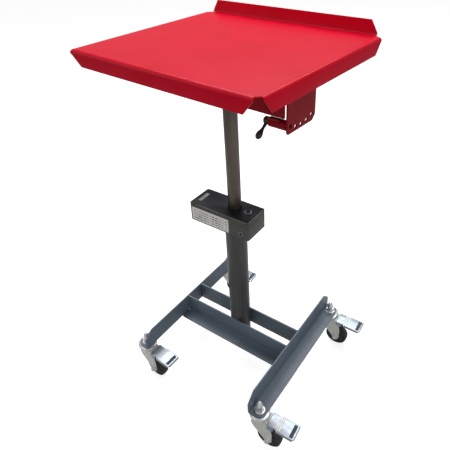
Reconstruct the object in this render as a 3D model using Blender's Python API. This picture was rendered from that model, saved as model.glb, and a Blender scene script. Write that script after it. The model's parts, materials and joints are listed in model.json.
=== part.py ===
"""Mobile tilting work table: a sheet-steel tray on a telescopic column over an H-shaped base with four casters.

Every size below is in millimetres and is scaled to metres when a mesh is made. +Z is up, the backstop is towards +Y
and the index plate towards +X. The origin is on the floor under the middle of the bounding box.
"""
import math

import bmesh
import bpy
from mathutils import Matrix, Vector

MM = 0.001
GAP = 0.3

# Where the column stands, seen from the origin. Heights on the frame, column and head are measured from a datum that
# lies COLUMN_Z above the floor.
COLUMN_X = -3.9
COLUMN_Y = -29.1
HEAD_SWIVEL = math.radians(-4.2)

# Base frame.
RAIL_UNDERSIDE = 116.0
SECTION_THICKNESS = 5.0
SECTION_HEIGHT = 72.0
SECTION_BEND = 3.0
RAIL_INNER_X = 207.0
RAIL_OUTER_X = 257.0
RAIL_HALF_LENGTH = 261.0
RAIL_END_SLOPE = 32.0
CROSSBAR_INNER_Y = 34.4
CROSSBAR_OUTER_Y = 80.0
STEM_X = 234.0
STEM_Y = 236.0
STEM_HOLE_RADIUS = 6.4

# Column.
OUTER_TUBE_RADIUS = 34.0
OUTER_TUBE_BORE = 30.0
OUTER_TUBE_TOP = 592.0
INNER_TUBE_RADIUS = 20.0
INNER_TUBE_BORE = 17.0
INNER_TUBE_FOOT = 432.0

# Lock housing.
HOUSING_LEFT = -132.6
HOUSING_RIGHT = 84.2
HOUSING_FRONT = -55.0
HOUSING_BACK = 37.5
HOUSING_BOTTOM = 575.5
HOUSING_TOP = 637.3
HOUSING_WALL = 3.0
FULCRUM_X = 42.0
SCREW_X = 50.0
SCREW_Y = -3.0
JAM_PLATE_LOW = 600.0
JAM_PLATE_THICKNESS = 5.0
LEVER_PIVOT_X = -100.0
LEVER_PIVOT_Z = 590.0

# Head and table, measured from the column axis before the head is swivelled.
TABLE_TOP = 1109.6
TRAY_LEFT = -336.0
TRAY_RIGHT = 274.0
TRAY_FRONT = -226.0
TRAY_BACK = 304.0
TRAY_THICKNESS = 3.0
TRAY_BEND = 8.0
LIP_HEIGHT = 40.0
LIP_END_SLOPE = 34.0
PIVOT_Z = 1083.0
PIN_CIRCLE_RADIUS = 118.0
PIN_STEP = math.radians(11.25)
PIN_HOLE_COUNT = 5
PIN_Y = -PIN_CIRCLE_RADIUS * math.sin(2 * PIN_STEP)
PIN_Z = PIVOT_Z - PIN_CIRCLE_RADIUS * math.cos(2 * PIN_STEP)
PLATE_INNER_X = 218.0
PLATE_THICKNESS = 5.0
PLATE_FRONT = -57.0
PLATE_BACK = 62.0
PLATE_BOTTOM = 956.0
HUB_START = 150.0
HUB_END = 165.5
CHANNEL_HALF_LENGTH = 206.0
CHANNEL_WALL_HALF_LENGTH = 217.0
CHANNEL_FRONT = -61.0
CHANNEL_BACK = 54.0
CHANNEL_TOP = 1055.0
CHANNEL_THICKNESS = 3.0
ROD_RADIUS = 6.0

# Casters, measured from the stem axis and the rail's underside, with the wheel trailing towards +X.
WHEEL_RADIUS = 40.0
WHEEL_HALF_WIDTH = 13.0
WHEEL_TRAIL = 35.0
AXLE_DROP = 94.0
COLUMN_Z = AXLE_DROP + WHEEL_RADIUS - RAIL_UNDERSIDE
FORK_HALF_WIDTH = 21.0
FORK_TOP = -13.0
FORK_THICKNESS = 2.5
PEDAL_PIVOT_X = 38.0
PEDAL_PIVOT_Z = -25.0
CASTERS = {
    "fl": (-STEM_X, -STEM_Y, math.radians(-2.0)),
    "fr": (STEM_X, -STEM_Y, math.radians(4.0)),
    "rl": (-STEM_X, STEM_Y, math.radians(5.0)),
    "rr": (STEM_X, STEM_Y, math.radians(2.0)),
}


def make_material(name, colour, roughness, metallic):
    """One Principled material in a flat colour."""
    material = bpy.data.materials.new(name)
    material.use_nodes = True
    shader = material.node_tree.nodes["Principled BSDF"]
    shader.inputs["Base Color"].default_value = (*colour, 1.0)
    shader.inputs["Roughness"].default_value = roughness
    shader.inputs["Metallic"].default_value = metallic
    material.diffuse_color = (*colour, 1.0)
    return material


def make_empty(name, location, parent=None, turn=0.0):
    """An empty placed in millimetres and turned about +Z."""
    empty = bpy.data.objects.new(name, None)
    bpy.context.scene.collection.objects.link(empty)
    empty.parent = parent
    empty.location = Vector(location) * MM
    empty.rotation_euler = (0.0, 0.0, turn)
    return empty


def make_object(name, mesh_data, material, parent, origin=(0.0, 0.0, 0.0), sharp_angle=35.0):
    """Turn a bmesh in millimetres into a named object whose origin is at the given point of its parent's frame."""
    bmesh.ops.translate(mesh_data, verts=mesh_data.verts, vec=-Vector(origin))
    bmesh.ops.scale(mesh_data, verts=mesh_data.verts, vec=(MM, MM, MM))
    bmesh.ops.recalc_face_normals(mesh_data, faces=mesh_data.faces)
    mesh = bpy.data.meshes.new(name)
    mesh_data.to_mesh(mesh)
    mesh_data.free()
    mesh.materials.append(material)
    mesh.shade_smooth()
    mesh.set_sharp_from_angle(angle=math.radians(sharp_angle))
    placed = bpy.data.objects.new(name, mesh)
    bpy.context.scene.collection.objects.link(placed)
    placed.parent = parent
    placed.location = Vector(origin) * MM
    return placed


def frame_from(origin, u_axis, v_axis):
    """A matrix that carries (u, v, w) to x, y, z, with w along u cross v."""
    u_axis = Vector(u_axis)
    v_axis = Vector(v_axis)
    w_axis = u_axis.cross(v_axis)
    matrix = Matrix((u_axis, v_axis, w_axis)).transposed().to_4x4()
    matrix.translation = Vector(origin)
    return matrix


def add_loop(mesh_data, points, frame):
    """Add a closed ring of edges in the frame's u, v plane and return its vertices and edges."""
    verts = [mesh_data.verts.new(frame @ Vector((u, v, 0.0))) for u, v in points]
    edges = [mesh_data.edges.new((verts[i - 1], verts[i])) for i in range(len(verts))]
    return verts, edges


def circle_points(centre_u, centre_v, radius, count=24):
    """Points on a circle."""
    angles = [math.tau * i / count for i in range(count)]
    return [(centre_u + radius * math.cos(a), centre_v + radius * math.sin(a)) for a in angles]


def rounded_outline(corners, radii, steps=5):
    """An outline with each corner rounded, from corner points given anticlockwise."""
    points = []
    count = len(corners)
    for i in range(count):
        here = Vector(corners[i])
        before = (Vector(corners[i - 1]) - here).normalized()
        after = (Vector(corners[(i + 1) % count]) - here).normalized()
        radius = radii[i]
        if radius == 0.0:
            points.append(tuple(here))
            continue
        half = before.angle(after) / 2
        setback = radius / math.tan(half)
        centre = here + (before + after).normalized() * (radius / math.sin(half))
        start = here + before * setback - centre
        swing = start.angle_signed(here + after * setback - centre)
        for k in range(steps + 1):
            turned = Matrix.Rotation(-swing * k / steps, 2) @ start
            points.append(tuple(centre + turned))
    return points


def prism(outline, holes, depth, frame):
    """A flat solid with holes, from the frame's u, v plane up to depth along w."""
    mesh_data = bmesh.new()
    edges = add_loop(mesh_data, outline, frame)[1]
    for hole in holes:
        edges += add_loop(mesh_data, hole, frame)[1]
    bmesh.ops.triangle_fill(mesh_data, use_beauty=True, use_dissolve=False, edges=edges)
    grown = bmesh.ops.extrude_face_region(mesh_data, geom=list(mesh_data.faces))
    top = [item for item in grown["geom"] if isinstance(item, bmesh.types.BMVert)]
    shift = frame.to_3x3() @ Vector((0.0, 0.0, depth))
    bmesh.ops.translate(mesh_data, verts=top, vec=shift)
    return mesh_data


def ring_radius(radius, angle, hexagonal):
    """The radius at an angle, of a circle or of a hexagon whose half width across flats is given."""
    if not hexagonal:
        return radius
    sector = math.tau / 6
    return radius / math.cos((angle + sector / 2) % sector - sector / 2)


def lathe(profile, frame, count=24, ring_shaped=False):
    """A solid turned about w from (radius, height) points; a third value of True makes that point hexagonal."""
    mesh_data = bmesh.new()
    rings = []
    for point in profile:
        radius, height = point[0], point[1]
        hexagonal = len(point) > 2
        if radius == 0.0:
            rings.append([mesh_data.verts.new(frame @ Vector((0.0, 0.0, height)))])
            continue
        ring = []
        for i in range(count):
            angle = math.tau * i / count
            r = ring_radius(radius, angle, hexagonal)
            ring.append(mesh_data.verts.new(frame @ Vector((r * math.cos(angle), r * math.sin(angle), height))))
        rings.append(ring)
    pairs = list(zip(rings, rings[1:]))
    if ring_shaped:
        pairs.append((rings[-1], rings[0]))
    for low, high in pairs:
        for i in range(count):
            corners = [low[i % len(low)], low[(i + 1) % len(low)], high[(i + 1) % len(high)], high[i % len(high)]]
            distinct = list(dict.fromkeys(corners))
            if len(distinct) > 2:
                mesh_data.faces.new(distinct)
    return mesh_data


def fold_rows(bend_radius, rise, rows, steps=4):
    """How far out and how high each row of a folded flange lies, and how far its two ends draw in.

    A first row at the height of the bend itself makes the ends of the bend draw in evenly towards it.
    """
    first_inset, second_inset = 0.0, 0.0
    if rows[0][0] == bend_radius:
        first_inset, second_inset = rows[0][1], rows[0][2]
    result = []
    for k in range(1, steps + 1):
        angle = math.pi / 2 * k / steps
        out = math.sin(angle)
        height = rise * bend_radius * (1 - math.cos(angle))
        result.append((bend_radius * out, height, first_inset * out, second_inset * out))
    for height, first_inset, second_inset in rows:
        if height > bend_radius:
            result.append((bend_radius, rise * height, first_inset, second_inset))
    return result


def folded_sheet(outline, holes, folds, frame):
    """One face of a folded sheet: a flat with holes and flanges folded up or down along some of its edges.

    The outline runs anticlockwise. Each fold is (first corner, second corner, bend radius, rise, rows), where rise is
    +1 or -1 and each row is (height, inset at the first end, inset at the second end).
    """
    mesh_data = bmesh.new()
    verts, edges = add_loop(mesh_data, outline, frame)
    for hole in holes:
        edges += add_loop(mesh_data, hole, frame)[1]
    bmesh.ops.triangle_fill(mesh_data, use_beauty=True, use_dissolve=False, edges=edges)
    for first, second, bend_radius, rise, rows in folds:
        a = Vector(outline[first])
        b = Vector(outline[second])
        along = (b - a).normalized()
        outward = Vector((along.y, -along.x))
        low = [verts[first], verts[second]]
        for out, height, first_inset, second_inset in fold_rows(bend_radius, rise, rows):
            high = []
            for corner, inset in ((a, first_inset), (b, -second_inset)):
                flat = corner + outward * out + along * inset
                high.append(mesh_data.verts.new(frame @ Vector((flat.x, flat.y, height))))
            mesh_data.faces.new((low[0], low[1], high[1], high[0]))
            low = high
    return mesh_data


def thicken(placed, thickness):
    """Give a folded sheet its thickness on the side away from its face."""
    modifier = placed.modifiers.new("Thickness", "SOLIDIFY")
    modifier.thickness = thickness * MM
    modifier.offset = -1.0
    modifier.use_even_offset = True
    return placed


def face_up(mesh_data, frame):
    """Point every face of an open sheet the same way as the frame's w."""
    bmesh.ops.recalc_face_normals(mesh_data, faces=mesh_data.faces)
    normal = frame.to_3x3() @ Vector((0.0, 0.0, 1.0))
    flat = max(mesh_data.faces, key=lambda face: abs(face.normal.dot(normal)) * face.calc_area())
    if flat.normal.dot(normal) < 0:
        bmesh.ops.reverse_faces(mesh_data, faces=mesh_data.faces)


def make_sheet(name, outline, holes, folds, thickness, frame, material, parent, origin=(0.0, 0.0, 0.0)):
    """A folded sheet as a solid object."""
    mesh_data = folded_sheet(outline, holes, folds, frame)
    face_up(mesh_data, frame)
    bmesh.ops.translate(mesh_data, verts=mesh_data.verts, vec=-Vector(origin))
    bmesh.ops.scale(mesh_data, verts=mesh_data.verts, vec=(MM, MM, MM))
    mesh = bpy.data.meshes.new(name)
    mesh_data.to_mesh(mesh)
    mesh_data.free()
    mesh.materials.append(material)
    mesh.shade_smooth()
    mesh.set_sharp_from_angle(angle=math.radians(35.0))
    placed = bpy.data.objects.new(name, mesh)
    bpy.context.scene.collection.objects.link(placed)
    placed.parent = parent
    placed.location = Vector(origin) * MM
    return thicken(placed, thickness)


def combine(placed, operation, mesh_data, name, material, parent):
    """Join or cut an object with a hidden tool."""
    tool = make_object(name, mesh_data, material, parent)
    tool.hide_render = True
    tool.display_type = "WIRE"
    modifier = placed.modifiers.new(name, "BOOLEAN")
    modifier.operation = operation
    modifier.solver = "EXACT"
    modifier.object = tool
    return placed


def round_edges(placed, width):
    """A small bevel on the sharp edges."""
    modifier = placed.modifiers.new("Edges", "BEVEL")
    modifier.width = width * MM
    modifier.segments = 2
    modifier.limit_method = "ANGLE"
    modifier.angle_limit = math.radians(50.0)
    modifier.use_clamp_overlap = True
    return placed


def upright(x=0.0, y=0.0, z=0.0):
    """A frame whose w is +Z."""
    return frame_from((x, y, z), (1, 0, 0), (0, 1, 0))


def facing_x(x=0.0, y=0.0, z=0.0):
    """A frame whose w is +X, with u along +Y and v along +Z."""
    return frame_from((x, y, z), (0, 1, 0), (0, 0, 1))


def facing_y(x=0.0, y=0.0, z=0.0):
    """A frame whose w is -Y, with u along +X and v along +Z."""
    return frame_from((x, y, z), (1, 0, 0), (0, 0, 1))


def build_rails(paint, parent):
    """Side rails: the flat flange lies outboard with rounded ends, the upright one inboard with sloping ends."""
    top = RAIL_UNDERSIDE + SECTION_THICKNESS
    bend_x = RAIL_INNER_X + SECTION_THICKNESS + SECTION_BEND
    rows = [(SECTION_HEIGHT - SECTION_THICKNESS - 30.0, 0.0, 0.0)]
    rows.append((SECTION_HEIGHT - SECTION_THICKNESS, RAIL_END_SLOPE, RAIL_END_SLOPE))
    for name, side in (("left_rail", -1), ("right_rail", 1)):
        corners = [(bend_x, -RAIL_HALF_LENGTH), (RAIL_OUTER_X, -RAIL_HALF_LENGTH)]
        corners += [(RAIL_OUTER_X, RAIL_HALF_LENGTH), (bend_x, RAIL_HALF_LENGTH)]
        outline = rounded_outline(corners, [0.0, 24.0, 24.0, 0.0])
        holes = [circle_points(STEM_X, y, STEM_HOLE_RADIUS, 16) for y in (-STEM_Y, STEM_Y)]
        if side < 0:
            outline = [(-x, y) for x, y in reversed(outline)]
            holes = [[(-x, y) for x, y in hole] for hole in holes]
        first = len(outline) - 1
        folds = [(first, 0, SECTION_BEND, 1, rows)]
        make_sheet(name, outline, holes, folds, SECTION_THICKNESS, upright(z=top), paint, parent)


def build_crossbars(paint, parent):
    """Crossbars: the upright flanges stand against the column and the flat ones point away from it."""
    top = RAIL_UNDERSIDE + SECTION_THICKNESS
    half = RAIL_INNER_X - GAP
    bend_y = CROSSBAR_INNER_Y + SECTION_THICKNESS + SECTION_BEND
    rows = [(SECTION_HEIGHT - SECTION_THICKNESS, 0.0, 0.0)]
    front = [(-half, -CROSSBAR_OUTER_Y), (half, -CROSSBAR_OUTER_Y), (half, -bend_y), (-half, -bend_y)]
    rear = [(-half, bend_y), (half, bend_y), (half, CROSSBAR_OUTER_Y), (-half, CROSSBAR_OUTER_Y)]
    front_fold = [(2, 3, SECTION_BEND, 1, rows)]
    rear_fold = [(0, 1, SECTION_BEND, 1, rows)]
    make_sheet("front_crossbar", front, [], front_fold, SECTION_THICKNESS, upright(z=top), paint, parent)
    make_sheet("rear_crossbar", rear, [], rear_fold, SECTION_THICKNESS, upright(z=top), paint, parent)


def build_outer_tube(paint, steel, parent):
    """The fixed column, the plug in its foot and the bush in its head."""
    tube = [(OUTER_TUBE_RADIUS, RAIL_UNDERSIDE), (OUTER_TUBE_RADIUS, OUTER_TUBE_TOP)]
    tube += [(OUTER_TUBE_BORE, OUTER_TUBE_TOP), (OUTER_TUBE_BORE, RAIL_UNDERSIDE)]
    make_object("outer_tube", lathe(tube, upright(), 48, True), paint, parent)
    radius = OUTER_TUBE_BORE - GAP
    plug = [(0.0, RAIL_UNDERSIDE), (radius, RAIL_UNDERSIDE), (radius, RAIL_UNDERSIDE + 8), (0.0, RAIL_UNDERSIDE + 8)]
    make_object("tube_end_plug", lathe(plug, upright(), 32), steel, parent)


def build_upper_bush(plastic, parent):
    """A flanged bush in the head of the outer tube, in which the inner tube slides and turns."""
    bore = INNER_TUBE_RADIUS + 0.1
    rim = OUTER_TUBE_TOP + GAP
    bush = [(bore, OUTER_TUBE_TOP - 40), (OUTER_TUBE_BORE - GAP, OUTER_TUBE_TOP - 40)]
    bush += [(OUTER_TUBE_BORE - GAP, rim), (OUTER_TUBE_RADIUS, rim), (OUTER_TUBE_RADIUS, rim + 4), (bore, rim + 4)]
    make_object("upper_guide_bush", lathe(bush, upright(), 48, True), plastic, parent)


def housing_outline(inset):
    """The housing seen from above, drawn in by the given amount."""
    corners = [(HOUSING_LEFT + inset, HOUSING_FRONT + inset), (HOUSING_RIGHT - inset, HOUSING_FRONT + inset)]
    corners += [(HOUSING_RIGHT - inset, HOUSING_BACK - inset), (HOUSING_LEFT + inset, HOUSING_BACK - inset)]
    return rounded_outline(corners, [7.0 - inset] * 4, 4)


def build_housing(paint, parent):
    """A box cover with holes for the tube and a cross bolt, and the plate that closes it."""
    shell = prism(housing_outline(0.0), [], HOUSING_TOP - HOUSING_BOTTOM, upright(z=HOUSING_BOTTOM))
    housing = make_object("lock_housing", shell, paint, parent)
    height = HOUSING_TOP - HOUSING_BOTTOM - HOUSING_WALL + 1
    hollow = prism(housing_outline(HOUSING_WALL), [], height, upright(z=HOUSING_BOTTOM - 1))
    combine(housing, "DIFFERENCE", hollow, "cut_housing_hollow", paint, parent)
    tube_hole = prism(circle_points(0, 0, INNER_TUBE_RADIUS + 1.0, 32), [], 20, upright(z=HOUSING_TOP - 10))
    combine(housing, "DIFFERENCE", tube_hole, "cut_housing_tube_hole", paint, parent)
    bolt_hole = prism(circle_points(57, 591 - 12, 4.0, 16), [], 20, facing_y(y=HOUSING_FRONT + 10, z=12))
    combine(housing, "DIFFERENCE", bolt_hole, "cut_housing_bolt_hole", paint, parent)
    screw_hole = prism(circle_points(SCREW_X, SCREW_Y, 4.3, 16), [], 20, upright(z=HOUSING_TOP - 10))
    combine(housing, "DIFFERENCE", screw_hole, "cut_housing_screw_hole", paint, parent)
    round_edges(housing, 2.0)


def build_housing_bottom(paint, parent):
    """The bottom plate, just inside the cover, with a hole for the column and a slot for the release lever."""
    slot = [(-128.0, -14.0), (-98.0, -14.0), (-98.0, 14.0), (-128.0, 14.0)]
    tube_hole = circle_points(0, 0, OUTER_TUBE_RADIUS + GAP, 48)
    outline = housing_outline(HOUSING_WALL + GAP)
    plate = prism(outline, [tube_hole, slot], 3.0, upright(z=HOUSING_BOTTOM))
    make_object("housing_bottom", plate, paint, parent)


def build_housing_screw(zinc, parent):
    """A socket-head screw through the cover's top into the fulcrum block."""
    top = HOUSING_TOP
    screw = [(0.0, top - 50), (4.0, top - 50), (4.0, top + GAP), (7.5, top + GAP), (7.5, top + 4.0), (6.5, top + 5.0)]
    screw += [(3.2, top + 5.0, True), (3.2, top + 1.8, True), (0.0, top + 1.8)]
    make_object("housing_screw", lathe(screw, upright(SCREW_X, SCREW_Y), 24), zinc, parent)


def build_fulcrum(steel, parent):
    """The block that the jam plates lean on, bored for the housing screw."""
    low = HOUSING_BOTTOM + 3.0 + GAP
    near, far = OUTER_TUBE_RADIUS + 2.0, SCREW_X + 20.0
    outline = [(near, -26.0), (far, -26.0), (far, 26.0), (near, 26.0)]
    hole = circle_points(SCREW_X, SCREW_Y, 4.3, 16)
    block = prism(outline, [hole], JAM_PLATE_LOW - 0.4 - low, upright(z=low))
    make_object("fulcrum_block", block, steel, parent)


def build_jam_plates(steel, parent):
    """Two plates round the inner tube that grip it when they lean, hinged on the fulcrum end."""
    spacing = JAM_PLATE_THICKNESS + 2.0
    for name, low in (("jam_plate_lower", JAM_PLATE_LOW), ("jam_plate_upper", JAM_PLATE_LOW + spacing)):
        outline = [(-66.0, -27.0), (FULCRUM_X, -27.0), (FULCRUM_X, 27.0), (-66.0, 27.0)]
        hole = circle_points(0, 0, INNER_TUBE_RADIUS + 0.7, 32)
        plate = prism(outline, [hole], JAM_PLATE_THICKNESS, upright(z=low))
        make_object(name, plate, steel, parent, (FULCRUM_X, 0.0, low))


def build_release_lever(steel, zinc, parent):
    """A lever hinged inside the cover: its paddle hangs below the cover and its arm lifts the jam plates."""
    z = LEVER_PIVOT_Z
    outline = [(-112.0, 565.0), (-60.0, 562.0), (-60.0, 567.0), (-106.0, 570.0), (-106.0, 582.0), (-92.0, 583.0)]
    outline += [(-56.0, 594.0), (-56.0, 599.5), (-70.0, 599.5), (-96.0, 597.0), (-106.0, 597.0), (-113.0, 590.0)]
    hole = circle_points(LEVER_PIVOT_X, z, 4.1, 24)
    shifted = frame_from((0.0, 12.0, 0.0), (1, 0, 0), (0, 0, 1))
    body = prism(outline, [hole], 24.0, shifted)
    make_object("release_lever", body, steel, parent, (LEVER_PIVOT_X, 0.0, z))
    front = -HOUSING_FRONT - HOUSING_WALL - GAP
    back = -HOUSING_BACK + HOUSING_WALL + GAP
    pin = [(0.0, back), (4.0, back), (4.0, front), (0.0, front)]
    make_object("lever_pivot_pin", lathe(pin, facing_y(LEVER_PIVOT_X, 0.0, z), 24), zinc, parent)


def build_mast(steel, red, plastic, zinc, head):
    """The inner tube with its foot bush and the channel welded across its top."""
    bush = [(0.0, INNER_TUBE_FOOT - 8), (OUTER_TUBE_BORE - 0.2, INNER_TUBE_FOOT - 8)]
    bush += [(OUTER_TUBE_BORE - 0.2, INNER_TUBE_FOOT + 30), (INNER_TUBE_RADIUS + 0.1, INNER_TUBE_FOOT + 30)]
    bush += [(INNER_TUBE_RADIUS + 0.1, INNER_TUBE_FOOT - GAP), (0.0, INNER_TUBE_FOOT - GAP)]
    make_object("lower_guide_bush", lathe(bush, upright(), 48), plastic, head)
    top = CHANNEL_TOP - CHANNEL_THICKNESS - GAP
    tube = [(INNER_TUBE_RADIUS, INNER_TUBE_FOOT), (INNER_TUBE_RADIUS, top)]
    tube += [(INNER_TUBE_BORE, top), (INNER_TUBE_BORE, INNER_TUBE_FOOT)]
    make_object("inner_tube", lathe(tube, upright(), 48, True), steel, head)
    build_channel(red, head)


def build_channel(red, head):
    """A folded channel: front and back walls turned down, and an ear turned up at each end for the tilt rod."""
    bend = 4.0
    half = CHANNEL_HALF_LENGTH - bend - CHANNEL_THICKNESS
    front = CHANNEL_FRONT + bend
    back = CHANNEL_BACK - bend
    ear = 18.0
    relief = 6.0
    long = CHANNEL_WALL_HALF_LENGTH
    outline = [(-long, front), (long, front), (long, -ear - relief), (half, -ear - relief), (half, -ear), (half, ear)]
    outline += [(half, ear + relief), (long, ear + relief), (long, back), (-long, back), (-long, ear + relief)]
    outline += [(-half, ear + relief), (-half, ear), (-half, -ear), (-half, -ear - relief), (-long, -ear - relief)]
    front_drop = CHANNEL_TOP - 996.5
    ear_rise = PIVOT_Z - CHANNEL_TOP
    ear_rows = [(ear_rise, 0.0, 0.0), (ear_rise + 8.0, 5.0, 5.0), (ear_rise + 12.0, 12.0, 12.0)]
    folds = [
        (0, 1, bend, -1, [(front_drop - 2.0, 0.0, 0.0), (front_drop, 2.0, 2.0)]),
        (8, 9, bend, -1, [(28.0, 0.0, 0.0), (34.0, 6.0, 6.0)]),
        (4, 5, bend, 1, ear_rows),
        (12, 13, bend, 1, ear_rows),
    ]
    frame = upright(z=CHANNEL_TOP)
    channel = make_sheet("head_channel", outline, [], folds, CHANNEL_THICKNESS, frame, red, head)
    rod_hole = lathe(
        [(0.0, -260.0), (ROD_RADIUS + GAP, -260.0), (ROD_RADIUS + GAP, 260.0), (0.0, 260.0)],
        facing_x(z=PIVOT_Z),
        24,
    )
    combine(channel, "DIFFERENCE", rod_hole, "cut_channel_rod_hole", red, head)


def build_pin(red, steel, black, head):
    """The sleeve under the channel's front wall, the index pin in it and the closed lever that throws the pin."""
    end = PLATE_INNER_X - 0.8
    start = HUB_END + 0.5
    along = facing_x(y=PIN_Y, z=PIN_Z)
    sleeve = [(12.5, start), (12.5, end), (4.8, end), (4.8, start)]
    make_object("pin_sleeve", lathe(sleeve, along, 32, True), red, head)
    tip = PLATE_INNER_X - 1.0
    tail = HUB_START + 4.5
    pin = [(0.0, tail), (4.5, tail), (4.5, tip - 1.5), (3.5, tip), (0.0, tip)]
    make_object("index_pin", lathe(pin, along, 24), steel, head, (tail, PIN_Y, PIN_Z))
    hub = [(0.0, HUB_START), (8.0, HUB_START), (9.8, HUB_START + 1.8), (9.8, HUB_END), (5.2, HUB_END)]
    hub += [(5.2, HUB_START + 3.5), (0.0, HUB_START + 3.5)]
    middle = (HUB_START + HUB_END) / 2
    lever = make_object("pin_lever", lathe(hub, along, 32), black, head, (middle, PIN_Y, PIN_Z))
    down = math.radians(36.0)
    handle = frame_from((middle, PIN_Y, PIN_Z), (1, 0, 0), (0, -math.sin(down), math.cos(down)))
    grip = [(0.0, 7.0), (4.2, 7.0), (3.6, 22.0), (4.6, 28.5), (7.4, 36.5), (8.4, 43.0), (7.2, 48.5), (4.0, 52.5)]
    grip += [(0.0, 53.5)]
    combine(lever, "UNION", lathe(grip, handle, 20), "join_pin_lever_grip", black, head)


def build_pivot_rod(zinc, head):
    """The tilt rod with its spacer collars, and a nut on each end."""
    edge = PLATE_INNER_X + PLATE_THICKNESS
    collar_in = CHANNEL_HALF_LENGTH + GAP
    collar_out = PLATE_INNER_X - GAP
    end = edge + 14.0
    rod = [(0.0, -end), (ROD_RADIUS, -end), (ROD_RADIUS, -collar_out), (9.0, -collar_out), (9.0, -collar_in)]
    rod += [(ROD_RADIUS, -collar_in), (ROD_RADIUS, collar_in), (9.0, collar_in), (9.0, collar_out)]
    rod += [(ROD_RADIUS, collar_out), (ROD_RADIUS, end), (0.0, end)]
    make_object("pivot_rod", lathe(rod, facing_x(z=PIVOT_Z), 24), zinc, head)
    for name, start in (("rod_nut_right", edge + GAP), ("rod_nut_left", -edge - GAP - 8.0)):
        bore = ROD_RADIUS + 0.2
        nut = [(9.0, start, True), (9.0, start + 8.0, True), (bore, start + 8.0), (bore, start)]
        make_object(name, lathe(nut, facing_x(z=PIVOT_Z), 24, True), zinc, head)


def lip_rows(first_corner, second_corner):
    """The rows of a lip whose ends slope in, from how far its two top corners stand from the tray's outer sides."""
    reach = TRAY_BEND + LIP_END_SLOPE
    return [(LIP_HEIGHT, reach - first_corner, reach - second_corner)]


def build_tray(red, table):
    """The tray: lips turned down at the front and sides, and a backstop turned up.

    The two lips at the front left run on round the corner and almost meet; the other corners are cut away.
    """
    bend = TRAY_BEND
    inner = TRAY_BEND - TRAY_THICKNESS
    left, right = TRAY_LEFT + bend, TRAY_RIGHT - bend
    front, back = TRAY_FRONT + bend, TRAY_BACK - inner - TRAY_THICKNESS
    notch = 17.0
    relief = 15.0
    corner = 6.0
    mitre = -0.58 * bend
    outline = [
        (left, front),
        (TRAY_RIGHT - notch, front),
        (right, TRAY_FRONT + notch),
        (right, TRAY_BACK - relief - 2.0),
        (right - corner, TRAY_BACK - relief + 1.0),
        (TRAY_RIGHT - relief - corner, back),
        (TRAY_LEFT + relief + corner, back),
        (left + corner, TRAY_BACK - relief + 1.0),
        (left, TRAY_BACK - relief - 2.0),
    ]
    stop = LIP_HEIGHT - TRAY_THICKNESS
    folds = [
        (0, 1, bend, -1, [(bend, mitre, 0.0)] + lip_rows(bend, notch)),
        (2, 3, bend, -1, lip_rows(notch, relief)),
        (5, 6, inner, 1, [(stop, LIP_END_SLOPE - relief, LIP_END_SLOPE - relief)]),
        (8, 0, bend, -1, [(bend, 0.0, mitre)] + lip_rows(relief, bend)),
    ]
    frame = upright(z=TABLE_TOP - PIVOT_Z)
    make_sheet("table_tray", outline, [], folds, TRAY_THICKNESS, frame, red, table)


def build_index_plate(red, table):
    """The right-hand hanger: a top flange under the tray and the arc of index holes."""
    outer = PLATE_INNER_X + PLATE_THICKNESS
    under_tray = TABLE_TOP - TRAY_THICKNESS - GAP - PIVOT_Z
    bend = 3.0
    top = under_tray - PLATE_THICKNESS - bend
    bottom = PLATE_BOTTOM - PIVOT_Z
    outline = [(PLATE_FRONT, bottom + 4.0), (PLATE_FRONT + 4.0, bottom), (PLATE_BACK - 13.0, bottom)]
    outline += [(PLATE_BACK, bottom + 13.0), (PLATE_BACK, top), (PLATE_FRONT, top)]
    holes = [circle_points(0.0, 0.0, ROD_RADIUS + 0.1)]
    for k in range(PIN_HOLE_COUNT):
        angle = (k - 2) * PIN_STEP
        u = PIN_CIRCLE_RADIUS * math.sin(angle)
        v = -PIN_CIRCLE_RADIUS * math.cos(angle)
        holes.append(circle_points(u, v, 5.2, 20))
    folds = [(4, 5, bend, 1, [(24.0, 8.0, 8.0)])]
    make_sheet("index_plate", outline, holes, folds, PLATE_THICKNESS, facing_x(x=outer), red, table)


def build_hinge_plate(red, table):
    """The left-hand hanger: a short plate with a top flange under the tray."""
    outer = PLATE_INNER_X + PLATE_THICKNESS
    under_tray = TABLE_TOP - TRAY_THICKNESS - GAP - PIVOT_Z
    bend = 3.0
    top = under_tray - PLATE_THICKNESS - bend
    frame = frame_from((-outer, 0.0, 0.0), (0, -1, 0), (0, 0, 1))
    holes = [circle_points(0.0, 0.0, ROD_RADIUS + 0.1)]
    ordered = [(50.0, top), (-50.0, top), (-50.0, 0.0), (-20.0, -22.0), (20.0, -22.0), (50.0, 0.0)]
    folds = [(0, 1, bend, 1, [(24.0, 8.0, 8.0)])]
    make_sheet("hinge_plate", ordered, holes, folds, PLATE_THICKNESS, frame, red, table)


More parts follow.
